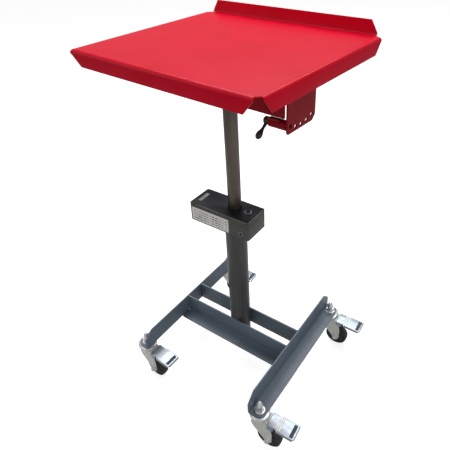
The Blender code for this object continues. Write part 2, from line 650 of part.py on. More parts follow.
def build_stem(tag, zinc, steel, stem):
    """The caster's stud with its bearing cap, the nut that clamps it to the rail and the dome nut on top."""
    profile = [(0.0, -21.0), (11.0, -21.0), (12.0, -19.0), (12.0, FORK_TOP - FORK_THICKNESS - GAP)]
    profile += [(7.0, FORK_TOP - FORK_THICKNESS - GAP), (7.0, FORK_TOP + GAP), (25.0, FORK_TOP + GAP)]
    profile += [(30.0, -10.0), (32.0, -6.0), (31.0, -2.0), (27.0, -GAP), (6.0, -GAP), (6.0, 34.0), (0.0, 34.0)]
    make_object(f"stem_{tag}", lathe(profile, upright(), 24), zinc, stem)
    low = SECTION_THICKNESS + GAP
    bore = 6.2
    nut = [(16.0, low), (16.0, low + 2.5), (11.5, low + 3.0, True), (11.5, low + 13.0, True), (bore, low + 13.0)]
    nut += [(bore, low)]
    make_object(f"stem_nut_{tag}", lathe(nut, upright(), 24, True), zinc, stem)
    base = low + 13.0 + 5.0
    dome = [(bore, base), (9.0, base, True), (9.0, base + 8.0, True), (8.6, base + 10.0), (8.2, base + 15.0)]
    dome += [(6.2, base + 19.5), (3.4, base + 21.8), (0.0, base + 22.6)]
    inside = [(0.0, 34.4), (bore, 34.4)]
    make_object(f"dome_nut_{tag}", lathe(inside + dome, upright(), 24), zinc, stem)


def build_fork(tag, zinc, swivel):
    """A folded fork: a round-nosed top with two tapering legs."""
    half = FORK_HALF_WIDTH
    bend = 4.0
    flat = half - bend
    nose = [(-22.0 * math.cos(a), -flat * math.sin(a)) for a in (math.radians(d) for d in (70, 35, 0, -35, -70))]
    outline = [(-14.0, -flat), (34.0, -flat), (34.0, flat), (-14.0, flat)]
    outline += [(x, y) for x, y in reversed(nose)]
    holes = [circle_points(0.0, 0.0, 7.3, 20)]
    drop = AXLE_DROP + FORK_TOP
    near = [(10.0, -4.0, -6.0), (25.0, -6.0, -12.0), (42.0, 2.0, -16.0), (58.0, 18.0, -16.0), (drop - 2.0, 36.0, -16.0)]
    near += [(drop + 8.0, 41.0, -11.0), (drop + 12.0, 46.0, -6.0)]
    far = [(height, rear, front) for height, front, rear in near]
    folds = [(0, 1, bend, -1, near), (2, 3, bend, -1, far)]
    frame = upright(z=FORK_TOP)
    fork = make_sheet(f"fork_{tag}", outline, holes, folds, FORK_THICKNESS, frame, zinc, swivel)
    axle_hole = lathe([(0.0, -40.0), (4.3, -40.0), (4.3, 40.0), (0.0, 40.0)], facing_y(WHEEL_TRAIL, 0, -AXLE_DROP), 20)
    combine(fork, "DIFFERENCE", axle_hole, f"cut_fork_{tag}_axle", zinc, swivel)
    pedal_hole = [(0.0, -40.0), (3.1, -40.0), (3.1, 40.0), (0.0, 40.0)]
    pedal_frame = facing_y(PEDAL_PIVOT_X, 0, PEDAL_PIVOT_Z)
    combine(fork, "DIFFERENCE", lathe(pedal_hole, pedal_frame, 16), f"cut_fork_{tag}_pedal", zinc, swivel)


def build_wheel(tag, zinc, rubber, swivel):
    """The axle bolt with its heads and the wheel that runs on it."""
    leg = FORK_HALF_WIDTH + GAP
    along = facing_y(WHEEL_TRAIL, 0.0, -AXLE_DROP)
    axle = [(0.0, -leg - 6.0), (6.5, -leg - 6.0, True), (6.5, -leg, True), (4.0, -leg), (4.0, leg)]
    axle += [(7.0, leg, True), (7.0, leg + 6.5, True), (4.0, leg + 7.0), (4.0, leg + 9.0), (0.0, leg + 9.0)]
    make_object(f"axle_{tag}", lathe(axle, along, 24), zinc, swivel)
    wide = WHEEL_HALF_WIDTH
    hub = FORK_HALF_WIDTH - FORK_THICKNESS - 0.5
    half = [(4.1, hub), (11.0, hub), (12.0, wide - 4), (26.0, wide - 4), (28.0, wide), (WHEEL_RADIUS - 4, wide)]
    half += [(WHEEL_RADIUS - 1, wide - 3), (WHEEL_RADIUS, wide - 7)]
    profile = half + [(r, -w) for r, w in reversed(half)]
    origin = (WHEEL_TRAIL, 0.0, -AXLE_DROP)
    make_object(f"wheel_{tag}", lathe(profile, along, 30, True), rubber, swivel, origin)


def build_pedal(tag, zinc, swivel):
    """The brake pedal: a plate with turned-down sides on a cross rod through the fork."""
    slope = math.radians(2.0)
    start = Vector((36.0, 0.0, -11.5))
    u_axis = (math.cos(slope), 0.0, -math.sin(slope))
    frame = frame_from(start, u_axis, (0, 1, 0))
    length = 85.0
    bend = 3.0
    narrow = FORK_HALF_WIDTH + 3.0
    wide = 26.8
    outline = [(0.0, -narrow + bend), (22.0, -narrow + bend), (30.0, -wide + bend), (length, -wide + bend)]
    outline += [(length, wide - bend), (30.0, wide - bend), (22.0, narrow - bend), (0.0, narrow - bend)]
    arm_rows = [(16.0, 0.0, 3.0)]
    far_rows = [(16.0, 3.0, 0.0)]
    skirt = [(8.0, 0.0, 4.0)]
    far_skirt = [(8.0, 4.0, 0.0)]
    folds = [(0, 1, bend, -1, arm_rows), (6, 7, bend, -1, far_rows)]
    folds += [(2, 3, bend, -1, skirt), (4, 5, bend, -1, far_skirt)]
    folds += [(3, 4, bend, -1, [(7.0, 4.0, 4.0)])]
    origin = (PEDAL_PIVOT_X, 0.0, PEDAL_PIVOT_Z)
    pedal = make_sheet(f"pedal_{tag}", outline, [], folds, 2.0, frame, zinc, swivel, origin)
    rod = [(0.0, -narrow + 0.5), (3.0, -narrow + 0.5), (3.0, narrow - 0.5), (0.0, narrow - 0.5)]
    along = facing_y(PEDAL_PIVOT_X, 0.0, PEDAL_PIVOT_Z)
    combine(pedal, "UNION", lathe(rod, along, 16), f"join_pedal_{tag}_rod", zinc, swivel)


def build_casters(zinc, steel, rubber, column):
    """Four braked swivel casters on the rails' undersides."""
    for tag, (x, y, turn) in CASTERS.items():
        stem = make_empty(f"stem_frame_{tag}", (x, y, RAIL_UNDERSIDE), column)
        swivel = make_empty(f"swivel_frame_{tag}", (0, 0, 0), stem, turn)
        build_stem(tag, zinc, steel, stem)
        build_fork(tag, zinc, swivel)
        build_wheel(tag, zinc, rubber, swivel)
        build_pedal(tag, zinc, swivel)


def main():
    """Build every part of the table."""
    for leftover in list(bpy.data.objects):
        bpy.data.objects.remove(leftover, do_unlink=True)
    red = make_material("red_powder_coat", (0.62, 0.03, 0.05), 0.35, 0.0)
    paint = make_material("grey_paint", (0.07, 0.08, 0.10), 0.45, 0.0)
    dark = make_material("black_paint", (0.03, 0.035, 0.05), 0.4, 0.0)
    steel = make_material("bare_steel", (0.22, 0.19, 0.17), 0.35, 0.9)
    zinc = make_material("bright_zinc", (0.75, 0.76, 0.78), 0.25, 1.0)
    rubber = make_material("black_rubber", (0.03, 0.03, 0.03), 0.7, 0.0)
    plastic = make_material("guide_plastic", (0.12, 0.12, 0.12), 0.6, 0.0)
    black = make_material("black_plastic", (0.02, 0.02, 0.02), 0.4, 0.0)

    column = make_empty("column_frame", (COLUMN_X, COLUMN_Y, COLUMN_Z))
    head = make_empty("head_frame", (0, 0, 0), column, HEAD_SWIVEL)
    table = make_empty("table_frame", (0, 0, PIVOT_Z), head)
    build_rails(paint, column)
    build_crossbars(paint, column)
    build_outer_tube(paint, steel, column)
    build_upper_bush(plastic, column)
    build_housing(dark, column)
    build_housing_bottom(dark, column)
    build_housing_screw(zinc, column)
    build_fulcrum(steel, column)
    build_jam_plates(steel, column)
    build_release_lever(steel, zinc, column)
    build_mast(steel, red, plastic, zinc, head)
    build_pin(red, steel, black, head)
    build_pivot_rod(zinc, head)
    build_tray(red, table)
    build_index_plate(red, table)
    build_hinge_plate(red, table)
    build_casters(zinc, steel, rubber, column)


main()
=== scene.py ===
"""Looks of a mobile tilting work table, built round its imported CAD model. Lengths are in metres."""
import json
import math

import bmesh
import bpy
from mathutils import Matrix, Vector


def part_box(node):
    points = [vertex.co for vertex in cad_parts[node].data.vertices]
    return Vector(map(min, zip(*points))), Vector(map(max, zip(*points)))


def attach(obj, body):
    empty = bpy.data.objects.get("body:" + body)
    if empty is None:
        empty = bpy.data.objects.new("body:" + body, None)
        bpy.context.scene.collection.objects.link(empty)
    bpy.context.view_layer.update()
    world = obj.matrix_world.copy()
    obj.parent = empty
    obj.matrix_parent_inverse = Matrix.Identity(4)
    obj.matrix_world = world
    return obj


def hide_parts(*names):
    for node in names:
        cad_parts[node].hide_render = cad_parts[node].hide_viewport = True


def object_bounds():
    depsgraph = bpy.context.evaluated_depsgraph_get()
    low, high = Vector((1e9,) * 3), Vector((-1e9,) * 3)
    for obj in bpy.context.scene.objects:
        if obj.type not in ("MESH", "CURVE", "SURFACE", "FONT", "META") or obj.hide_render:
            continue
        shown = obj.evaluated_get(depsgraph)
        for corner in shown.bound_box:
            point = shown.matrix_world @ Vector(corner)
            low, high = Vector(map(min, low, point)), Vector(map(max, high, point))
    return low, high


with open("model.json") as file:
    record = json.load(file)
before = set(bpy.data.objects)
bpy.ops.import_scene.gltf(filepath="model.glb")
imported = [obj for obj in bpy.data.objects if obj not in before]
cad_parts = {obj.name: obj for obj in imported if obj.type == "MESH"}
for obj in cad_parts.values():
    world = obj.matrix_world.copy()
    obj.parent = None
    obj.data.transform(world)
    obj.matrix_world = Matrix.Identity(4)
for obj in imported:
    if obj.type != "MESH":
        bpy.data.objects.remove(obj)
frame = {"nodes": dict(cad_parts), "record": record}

CAD_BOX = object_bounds()
CASTER_TAGS = ("fl", "fr", "rl", "rr")
WHITE = (1.0, 1.0, 1.0, 1.0)

# Nodes, or kinds of node, whose finish isn't the one of their material slot.
NODE_FINISHES = {
    "outer_tube": "tube_paint",
    "housing_screw": "black_paint",
    # The head's plates and sleeve take the red powder coat with painted shade, darker because they lie under
    # the tray.
    "head_channel": "painted_shade_red",
    "index_plate": "painted_shade_red",
    "hinge_plate": "painted_shade_red",
    "pin_sleeve": "painted_shade_red",
    "fork": "pressed_zinc",
    "pedal": "pedal_zinc",
}

# How far the edges of the sheet parts are rounded, and the angle from which an edge counts as sharp.
SHEET_EDGES = {
    "table_tray": 0.0009,
    "head_channel": 0.0008,
    "index_plate": 0.0008,
    "hinge_plate": 0.0008,
    "left_rail": 0.0010,
    "right_rail": 0.0010,
    "front_crossbar": 0.0010,
    "rear_crossbar": 0.0010,
    "fork": 0.0005,
    "pedal": 0.0004,
    "inner_tube": 0.0005,
    "outer_tube": 0.0008,
}
SHARP_EDGE = math.radians(60.0)
SMOOTH_BELOW = math.radians(32.0)

# The powder coat's two random shades, where it is thin and where it is thick: on the tray, and darker with
# painted shade on the parts under it.
BRIGHT_REDS = ((0.56, 0.001, 0.016), (0.62, 0.002, 0.025))
PAINTED_SHADE_REDS = ((0.24, 0.003, 0.010), (0.30, 0.005, 0.015))

# The camera stands where the photographer did, seen from the column axis and the heights' datum.
CAMERA_FROM_COLUMN = Vector((0.706, -0.923, 1.431))
CAMERA_AZIMUTH = math.radians(35.84)
CAMERA_ELEVATION = math.radians(32.26)
CAMERA_ROLL = math.radians(-2.13)
CAMERA_LENS = 37.52
CAMERA_SHIFT = (-0.0444, -0.08)

# The strength of the pale surround: what it lights the table with, and how bright it is to the camera.
WORLD_LIGHT = 0.32
BACKDROP_LIGHT = 1.0
FLOOR_GLOW = 0.76
FLOOR_SIZE = 30.0

# Places that the welds and the labels are measured from, in millimetres.
RAIL_UNDERSIDE = 116.0
TRAY_TOP = 1109.6
HOUSING_FRONT = -55.0
HOUSING_TOP = 637.3

# Half of the tyre's and of the hub's section, as (radius, distance from the middle plane).
TYRE_SECTION = [
    (0.0272, 0.0098), (0.0280, 0.0116), (0.0305, 0.0128), (0.0322, 0.0123), (0.0332, 0.0128),
    (0.0365, 0.0124), (0.0385, 0.0108), (0.0392, 0.0078), (0.0396, 0.0040), (0.0397, 0.0012),
]
HUB_SECTION = [
    (0.0042, 0.0178), (0.0095, 0.0178), (0.0106, 0.0168), (0.0114, 0.0075), (0.0130, 0.0058),
    (0.0215, 0.0058), (0.0232, 0.0078), (0.0240, 0.0110), (0.0260, 0.0114), (0.0273, 0.0098),
]
SPOKES = 6
SPOKE_MIDDLE = 0.0172
WEB_FACE = 0.0052

# The pedal's upper face in the caster's frame, and what is pressed into it: (distance along it, half width).
PEDAL_START = (0.036, 0.0, -0.0115)
PEDAL_SLOPE = math.radians(2.0)
PEDAL_RIDGES = ((0.026, 0.0195), (0.0325, 0.0225), (0.039, 0.0230))
PEDAL_BORDER = [(0.030, -0.0246), (0.0866, -0.0246), (0.0866, 0.0246), (0.030, 0.0246)]
TREAD_MIDDLE = 0.0765

# The fork's ball race and rivets.
RACE_SECTION = [(0.0215, -0.0131), (0.0215, -0.0122), (0.0235, -0.0122), (0.0248, -0.0131)]
RIVET_SECTION = [(0.0001, 0.0), (0.0034, 0.0), (0.0030, 0.0009), (0.0018, 0.0015), (0.0001, 0.0017)]
RIVETS = ((-0.002, -0.030), (0.030, -0.050))
FORK_FACE = 0.0209


def middle(node):
    """The centre of a node's box."""
    low, high = (Vector(corner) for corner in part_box(node))
    return (low + high) / 2


COLUMN = middle("outer_tube")
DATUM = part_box("left_rail")[0].z - RAIL_UNDERSIDE / 1000
HEAD_SWIVEL = math.radians(-4.2)


def on_base(x, y, z):
    """A point of the fixed frame, measured in millimetres from the column axis."""
    return Vector((COLUMN.x + x / 1000, COLUMN.y + y / 1000, DATUM + z / 1000))


def on_head(x, y, z):
    """A point of the head, measured in millimetres before the head is swivelled."""
    cosine, sine = math.cos(HEAD_SWIVEL), math.sin(HEAD_SWIVEL)
    return on_base(x * cosine - y * sine, x * sine + y * cosine, z)


# ---------------------------------------------------------------- materials

class Shader:
    """A node material with short calls for the nodes that are used here."""

    def __init__(self, name):
        self.material = bpy.data.materials.new(name)
        self.material.use_nodes = True
        self.nodes = self.material.node_tree.nodes
        self.links = self.material.node_tree.links
        self.surface = self.nodes["Principled BSDF"]
        self.coords = self.nodes.new("ShaderNodeTexCoord").outputs["Object"]

    def set(self, **values):
        """Set the shader's own sockets; underscores stand for spaces."""
        for key, value in values.items():
            self.surface.inputs[key.replace("_", " ")].default_value = value

    def stretched(self, scale):
        """Object coordinates scaled along each axis."""
        mapping = self.nodes.new("ShaderNodeMapping")
        mapping.inputs["Scale"].default_value = scale
        self.links.new(self.coords, mapping.inputs["Vector"])
        return mapping.outputs["Vector"]

    def noise(self, scale, detail=3.0, roughness=0.55, stretch=None):
        """Fractal noise between 0 and 1."""
        node = self.nodes.new("ShaderNodeTexNoise")
        node.inputs["Scale"].default_value = scale
        node.inputs["Detail"].default_value = detail
        node.inputs["Roughness"].default_value = roughness
        self.links.new(self.stretched(stretch) if stretch else self.coords, node.inputs["Vector"])
        return node.outputs["Fac"]

    def ramp(self, factor, *stops):
        """A colour or grey ramp from (position, colour) stops."""
        node = self.nodes.new("ShaderNodeValToRGB")
        elements = node.color_ramp.elements
        while len(elements) < len(stops):
            elements.new(0.5)
        for element, (position, colour) in zip(elements, stops):
            element.position = position
            shade = colour if isinstance(colour, tuple) else (colour, colour, colour)
            element.color = (*shade, 1.0)
        self.links.new(factor, node.inputs["Fac"])
        return node.outputs["Color"]

    def blend(self, factor, first, second, mode="MIX"):
        """Mix two colours by a factor socket or number."""
        node = self.nodes.new("ShaderNodeMix")
        node.data_type = "RGBA"
        node.blend_type = mode
        for socket, value in ((node.inputs[0], factor), (node.inputs[6], first), (node.inputs[7], second)):
            if hasattr(value, "is_linked"):
                self.links.new(value, socket)
            elif isinstance(value, tuple):
                socket.default_value = (*value, 1.0)
            else:
                socket.default_value = value
        return node.outputs[2]

    def colour(self, socket):
        """Feed the base colour."""
        self.links.new(socket, self.surface.inputs["Base Color"])

    def bump(self, height, strength, depth):
        """Bump from a height socket."""
        node = self.nodes.new("ShaderNodeBump")
        node.inputs["Strength"].default_value = strength
        node.inputs["Distance"].default_value = depth
        self.links.new(height, node.inputs["Height"])
        self.links.new(node.outputs["Normal"], self.surface.inputs["Normal"])

    def tone(self, first, second, start=0.3, end=0.7, **noise):
        """Base colour that drifts from one shade to another."""
        self.colour(self.ramp(self.noise(**noise), (start, first), (end, second)))

    def gloss(self, smooth, rough, start=0.3, end=0.7, **noise):
        """Roughness that drifts from one value to another."""
        drift = self.ramp(self.noise(**noise), (start, smooth), (end, rough))
        self.links.new(drift, self.surface.inputs["Roughness"])

    def grain(self, strength, depth, **noise):
        """Bump from fine noise."""
        self.bump(self.noise(**noise), strength, depth)


def red_powder_coat(name, thin, thick):
    """Red powder coat: orange peel, faint cloudiness and slightly uneven gloss."""
    shader = Shader(name)
    shader.tone(thin, thick, scale=7.0)
    shader.gloss(0.28, 0.32, start=0.35, scale=9.0, detail=4.0, roughness=0.6)
    shader.grain(0.03, 0.0002, scale=700.0, detail=2.0, roughness=0.45)
    shader.set(Coat_Weight=0.03, Coat_Roughness=0.12, Specular_IOR_Level=0.08)
    return shader.material


def frame_paint():
    """Blue-grey satin frame paint over rolled steel, with faint clouding and fine dusty speckle."""
    shader = Shader("blue_grey_frame_paint")
    paint = shader.ramp(shader.noise(6.0), (0.3, (0.104, 0.142, 0.186)), (0.7, (0.128, 0.172, 0.224)))
    speckle = shader.ramp(shader.noise(420.0, detail=2.0), (0.62, 0.0), (0.72, 0.35))
    shader.colour(shader.blend(speckle, paint, (0.17, 0.19, 0.22)))
    shader.gloss(0.34, 0.46, scale=18.0, detail=5.0, roughness=0.65)
    shader.grain(0.10, 0.0004, scale=500.0)
    shader.set(Coat_Weight=0.15, Coat_Roughness=0.3)
    return shader.material


def tube_paint():
    """Dark grey-green paint on the drawn outer tube, with faint lengthwise streaks."""
    shader = Shader("grey_green_tube_paint")
    dark, light = (0.036, 0.040, 0.038), (0.060, 0.064, 0.058)
    shader.tone(dark, light, scale=70.0, detail=4.0, roughness=0.6, stretch=(1.0, 1.0, 0.05))
    shader.gloss(0.30, 0.42, scale=30.0, detail=4.0)
    shader.grain(0.08, 0.0003, scale=500.0, detail=2.0)
    return shader.material


def housing_paint():
    """Stoved black paint on the lock housing with a fine random mottle: near-black on top from painted
    shade, and paler on its sides from a painted reflection.
    """
    shader = Shader("black_stoved_paint")
    split = shader.nodes.new("ShaderNodeSeparateXYZ")
    shader.links.new(shader.nodes.new("ShaderNodeNewGeometry").outputs["Normal"], split.inputs["Vector"])
    # Painted light: faces that point up take the near-black painted shade, and the sides take a paler
    # painted reflection.
    painted_top_shade_mask = shader.ramp(split.outputs["Z"], (0.25, 0.0), (0.9, 1.0))
    dust = shader.noise(60.0, detail=5.0, roughness=0.6)
    top = shader.ramp(dust, (0.35, (0.006, 0.008, 0.013)), (0.75, (0.013, 0.015, 0.022)))
    sides = shader.ramp(dust, (0.35, (0.074, 0.076, 0.068)), (0.75, (0.105, 0.107, 0.097)))
    shader.colour(shader.blend(painted_top_shade_mask, sides, top))
    shader.gloss(0.30, 0.44, scale=80.0, detail=4.0)
    shader.grain(0.12, 0.0003, scale=900.0, roughness=0.6)
    shader.set(Specular_IOR_Level=0.14)
    return shader.material


def bare_steel():
    """Drawn bare steel: brown-grey oil film, lengthwise draw lines and darker rub marks."""
    shader = Shader("bare_drawn_steel")
    film = shader.noise(11.0, detail=5.0, roughness=0.6, stretch=(1.0, 1.0, 0.25))
    shades = ((0.3, (0.115, 0.090, 0.075)), (0.55, (0.175, 0.145, 0.125)), (0.8, (0.24, 0.21, 0.19)))
    lines = shader.noise(160.0, roughness=0.6, stretch=(1.0, 1.0, 0.015))
    rubbed = shader.ramp(lines, (0.35, 0.5), (0.65, 1.0))
    shader.colour(shader.blend(0.35, shader.ramp(film, *shades), rubbed, "MULTIPLY"))
    shader.gloss(0.30, 0.46, scale=40.0, detail=4.0)
    shader.bump(lines, 0.12, 0.0004)
    shader.set(Metallic=0.85)
    return shader.material


def bright_zinc():
    """Bright zinc plate on turned parts: blue-white, with fine marks and dull handling spots."""
    shader = Shader("bright_zinc_plate")
    shader.tone((0.74, 0.77, 0.80), (0.86, 0.87, 0.88), scale=40.0, roughness=0.5)
    shader.gloss(0.30, 0.40, scale=120.0, detail=4.0, roughness=0.6)
    shader.grain(0.03, 0.0002, scale=300.0, detail=2.0)
    shader.set(Metallic=0.85)
    return shader.material


def pressed_zinc():
    """Satin zinc plate on the caster pressings: pale, slightly yellow-green, with faint drawing marks."""
    shader = Shader("satin_zinc_pressing")
    plate = shader.ramp(shader.noise(22.0, detail=4.0), (0.3, (0.66, 0.67, 0.61)), (0.7, (0.80, 0.80, 0.74)))
    marks = shader.noise(120.0, roughness=0.6, stretch=(1.0, 1.0, 0.12))
    shader.colour(shader.blend(0.25, plate, shader.ramp(marks, (0.35, 0.7), (0.65, 1.0)), "MULTIPLY"))
    shader.gloss(0.34, 0.46, scale=90.0, detail=4.0, roughness=0.6)
    shader.bump(marks, 0.06, 0.0003)
    shader.set(Metallic=0.4)
    return shader.material


def pedal_zinc():
    """Blue-passivated zinc on the pedals, with fine lengthwise brushing."""
    shader = Shader("blue_zinc_pedal")
    brushing = shader.noise(90.0, detail=4.0, roughness=0.6, stretch=(0.06, 1.0, 1.0))
    shader.colour(shader.ramp(brushing, (0.3, (0.26, 0.31, 0.38)), (0.7, (0.46, 0.51, 0.57))))
    shader.gloss(0.26, 0.38, scale=80.0, detail=4.0)
    shader.bump(brushing, 0.08, 0.0003)
    shader.set(Metallic=0.85)
    return shader.material


def pedal_tread():
    """Blue-grey moulded pad on the pedal, with fine grain and worn ribs."""
    shader = Shader("pedal_tread_pad")
    worn, dark = (0.085, 0.110, 0.130), (0.045, 0.062, 0.078)
    shader.tone(dark, worn, start=0.35, end=0.75, scale=110.0, detail=4.0, roughness=0.6)
    shader.gloss(0.50, 0.70, scale=150.0)
    shader.grain(0.15, 0.0003, scale=1100.0, roughness=0.6)
    return shader.material


def tyre_rubber():
    """Dark moulded rubber with fine grain and pale dust."""
    shader = Shader("tyre_rubber")
    rubber, dusty = (0.018, 0.018, 0.019), (0.060, 0.058, 0.054)
    shader.tone(rubber, dusty, start=0.4, end=0.75, scale=60.0, detail=5.0, roughness=0.65)
    shader.gloss(0.55, 0.80, scale=150.0)
    shader.grain(0.25, 0.0003, scale=1200.0, roughness=0.6)
    return shader.material


def hub_plastic():
    """Mid-grey moulded hub plastic."""
    shader = Shader("grey_hub_plastic")
    shader.tone((0.055, 0.055, 0.058), (0.10, 0.10, 0.10), scale=50.0, detail=4.0)
    shader.gloss(0.42, 0.58, scale=200.0)
    shader.grain(0.15, 0.0003, scale=900.0)
    return shader.material


def black_plastic():
    """Semi-gloss black phenolic plastic on the pin lever."""
    shader = Shader("black_lever_plastic")
    shader.tone((0.010, 0.010, 0.011), (0.022, 0.021, 0.020), scale=80.0, detail=4.0)
    shader.gloss(0.28, 0.44, scale=140.0)
    shader.grain(0.12, 0.0003, scale=500.0)
    return shader.material


def guide_plastic():
    """Dull dark nylon of the guide bushes."""
    shader = Shader("dark_guide_nylon")
    shader.tone((0.05, 0.05, 0.05), (0.09, 0.088, 0.082), scale=90.0)
    shader.gloss(0.5, 0.65, scale=140.0)
    shader.grain(0.12, 0.0003, scale=700.0)
    return shader.material


def painted_metal(name, dark, light):
    """Painted metal for weld beads and eyelets, and for a pale bead that carries a painted highlight."""
    shader = Shader(name)
    shader.tone(dark, light, scale=300.0, detail=4.0)
    shader.gloss(0.38, 0.55, scale=400.0)
    shader.grain(0.3, 0.0005, scale=800.0)
    return shader.material


def printed_label(name, ground, ink, rows_scale, across="Z"):
    """A label of plain ruled stripes, with nothing to read."""
    shader = Shader(name)
    wave = shader.nodes.new("ShaderNodeTexWave")
    wave.bands_direction = across
    wave.inputs["Scale"].default_value = rows_scale
    shader.links.new(shader.coords, wave.inputs["Vector"])
    rows = shader.ramp(wave.outputs["Fac"], (0.62, 0.0), (0.78, 0.9))
    gaps = shader.noise(210.0, detail=1.0, roughness=0.5, stretch=(1.0, 1.0, 0.12))
    marks = shader.blend(1.0, rows, shader.ramp(gaps, (0.45, 0.0), (0.52, 1.0)), "MULTIPLY")
    faded = shader.blend(shader.noise(30.0), ground, tuple(0.86 * part for part in ground))
    shader.colour(shader.blend(marks, faded, ink))
    shader.gloss(0.32, 0.5, scale=60.0)
    return shader.material


def studio_floor():
    """A pale matt studio floor that looks a little brighter than the light it throws back."""
    shader = Shader("pale_floor")
    shader.tone((0.62, 0.62, 0.62), (0.64, 0.64, 0.64), scale=2.0)
    glow = shader.nodes.new("ShaderNodeMath")
    glow.operation = "MULTIPLY"
    glow.inputs[1].default_value = FLOOR_GLOW
    shader.links.new(shader.nodes.new("ShaderNodeLightPath").outputs["Is Camera Ray"], glow.inputs[0])
    shader.links.new(glow.outputs[0], shader.surface.inputs["Emission Strength"])
    shader.set(Roughness=0.85, Specular_IOR_Level=0.1, Emission_Color=WHITE)
    return shader.material


# ---------------------------------------------------------------- mesh helpers

def finish_mesh(name, mesh_data, material, body, sharp_angle=35.0):
    """Turn a bmesh into a piece that rides on a body."""
    bmesh.ops.recalc_face_normals(mesh_data, faces=mesh_data.faces)
    mesh = bpy.data.meshes.new(name)
    mesh_data.to_mesh(mesh)
    mesh_data.free()
    mesh.materials.append(material)
    mesh.shade_smooth()
    mesh.set_sharp_from_angle(angle=math.radians(sharp_angle))
    piece = bpy.data.objects.new(name, mesh)
    bpy.context.scene.collection.objects.link(piece)
    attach(piece, body)
    return piece


def moved(x, y, z):
    """A shift, as a matrix."""
    return Matrix.Translation((x, y, z))


def turned(angle, axis):
    """A rotation about an axis, as a matrix."""
    return Matrix.Rotation(angle, 4, axis)


def axes(origin, w_axis, u_hint):
    """A matrix whose third column is w_axis and whose first is near u_hint."""
    w_axis = Vector(w_axis).normalized()
    v_axis = w_axis.cross(Vector(u_hint)).normalized()
    u_axis = v_axis.cross(w_axis)
    matrix = Matrix((u_axis, v_axis, w_axis)).transposed().to_4x4()
    matrix.translation = Vector(origin)
    return matrix


def add_lathe(mesh_data, section, place, count):
    """Add a ring-shaped solid turned about w from (radius, height) points."""
    rings = []
    for radius, height in section:
        angles = [math.tau * i / count for i in range(count)]
        points = [Vector((radius * math.cos(a), radius * math.sin(a), height)) for a in angles]
        rings.append([mesh_data.verts.new(place @ point) for point in points])
    for low, high in zip(rings, rings[1:] + rings[:1]):
        for i in range(count):
            j = (i + 1) % count
            mesh_data.faces.new((low[i], low[j], high[j], high[i]))


def both_sides(half):
    """A closed section from its half on one side of the middle plane."""
    return half + [(radius, -height) for radius, height in reversed(half)]


def add_plate(mesh_data, outline, thickness, place):
    """Add a flat plate from an outline in the u, v plane, rising along w."""
    low = [mesh_data.verts.new(place @ Vector((u, v, 0.0))) for u, v in outline]
    high = [mesh_data.verts.new(place @ Vector((u, v, thickness))) for u, v in outline]
    mesh_data.faces.new(list(reversed(low)))
    mesh_data.faces.new(high)
    for i in range(len(low)):
        mesh_data.faces.new((low[i - 1], low[i], high[i], high[i - 1]))


def rounded_rectangle(width, height, radius, steps=5):
    """The outline of a rectangle with round corners, about its middle."""
    points = []
    for quarter in range(4):
        sign_u = (1, -1, -1, 1)[quarter]
        sign_v = (1, 1, -1, -1)[quarter]
        centre = (sign_u * (width / 2 - radius), sign_v * (height / 2 - radius))
        for k in range(steps + 1):
            angle = math.pi / 2 * (quarter + k / steps)
            points.append((centre[0] + radius * math.cos(angle), centre[1] + radius * math.sin(angle)))
    return points


def spaced_along(path, spacing):
    """Points a set distance apart along a path."""
    points = []
    for a, b in zip(path, path[1:]):
        count = max(2, int((b - a).length / spacing))
        points += [a.lerp(b, i / count) for i in range(count)]
    return points + [path[-1]]


def add_bead(mesh_data, path, radius, spacing=0.0022):
    """Add a rippled bead along a path, with closed, tapered ends."""
    points = spaced_along(path, spacing)
    last = len(points) - 1
    sides = 8
    rings = []
    for i, point in enumerate(points):
        ahead = points[min(i + 1, last)] - points[max(i - 1, 0)]
        place = axes(point, ahead, (0.31, 0.52, 0.79))
        taper = min(1.0, 0.35 + 0.3 * min(i, last - i))
        r = radius * taper * (1.0 + 0.13 * (i % 2))
        angles = [math.tau * k / sides for k in range(sides)]
        ring = [Vector((r * math.cos(t), r * math.sin(t), 0.0)) for t in angles]
        rings.append([mesh_data.verts.new(place @ corner) for corner in ring])
    for low, high in zip(rings, rings[1:]):
        for k in range(sides):
            mesh_data.faces.new((low[k - 1], low[k], high[k], high[k - 1]))
    mesh_data.faces.new(list(reversed(rings[0])))
    mesh_data.faces.new(rings[-1])


# ---------------------------------------------------------------- the CAD nodes' finishes

def smooth_group():
    """A node group that joins a CAD node's faces and shades them smooth where they bend gently."""
    group = bpy.data.node_groups.new("join_and_smooth", "GeometryNodeTree")
    group.interface.new_socket("Geometry", in_out="INPUT", socket_type="NodeSocketGeometry")
    group.interface.new_socket("Geometry", in_out="OUTPUT", socket_type="NodeSocketGeometry")
    nodes, links = group.nodes, group.links
    merge = nodes.new("GeometryNodeMergeByDistance")
    merge.inputs["Distance"].default_value = 0.000005
    links.new(nodes.new("NodeGroupInput").outputs[0], merge.inputs["Geometry"])
    faces = nodes.new("GeometryNodeSetShadeSmooth")
    faces.domain = "FACE"
    links.new(merge.outputs["Geometry"], faces.inputs["Geometry"])
    between = nodes.new("GeometryNodeInputMeshEdgeAngle")
    sharp = nodes.new("FunctionNodeCompare")
    sharp.operation = "GREATER_THAN"
    sharp.inputs[1].default_value = SMOOTH_BELOW
    links.new(between.outputs["Unsigned Angle"], sharp.inputs[0])
    edges = nodes.new("GeometryNodeSetShadeSmooth")
    edges.domain = "EDGE"
    edges.inputs["Shade Smooth"].default_value = False
    links.new(sharp.outputs[0], edges.inputs["Selection"])
    links.new(faces.outputs["Geometry"], edges.inputs["Geometry"])
    links.new(edges.outputs["Geometry"], nodes.new("NodeGroupOutput").inputs[0])
    return group


def round_edges(node, width):
    """Round a sheet part's sharp edges a little."""
    bevel = node.modifiers.new("Sheared edges", "BEVEL")
    bevel.width = width
    bevel.segments = 2
    bevel.limit_method = "ANGLE"
    bevel.angle_limit = SHARP_EDGE
    bevel.harden_normals = True


